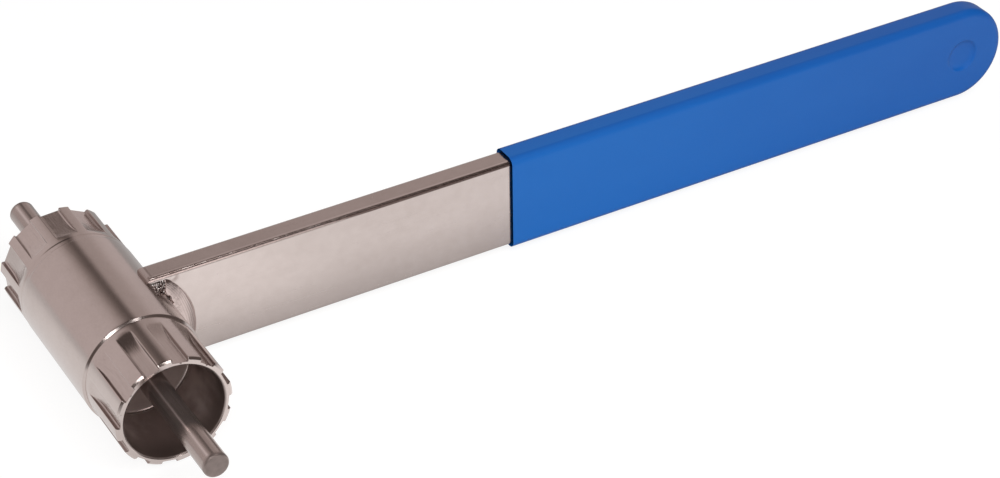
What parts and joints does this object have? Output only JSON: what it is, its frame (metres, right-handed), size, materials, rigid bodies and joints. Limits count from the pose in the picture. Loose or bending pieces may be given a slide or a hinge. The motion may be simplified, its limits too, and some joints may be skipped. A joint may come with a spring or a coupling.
{
  "type": "cassette lockring tool",
  "caption": "Bench hand tool: a hollow socket splined at both ends, with a guide pin through it, welded across a flat steel bar with a dipped grip.",
  "frame": {"origin": "on the socket's and guide pin's axis, in the plane of the front rim of the socket", "axes": "-Y out of the front end with the broad splines, +X along the handle to the grip, +Z across the bar's width, up as the tool lies in use"},
  "size_m": [0.2198, 0.0921, 0.0236],
  "materials": {
    "plated_steel": "satin nickel plate over turned, milled and sawn steel",
    "ground_steel": "polished nickel plate over a ground pin",
    "plated_weld": "nickel plate over a rippled fillet weld",
    "dipped_vinyl": "soft blue dip coat, half gloss"
  },
  "bodies": {
    "root": {"socket_body": "plated_steel", "guide_pin": "ground_steel", "handle_bar": "plated_steel", "dipped_grip": "dipped_vinyl", "front_weld_bead": "plated_weld", "back_weld_bead": "plated_weld"}
  },
  "joints": []
}
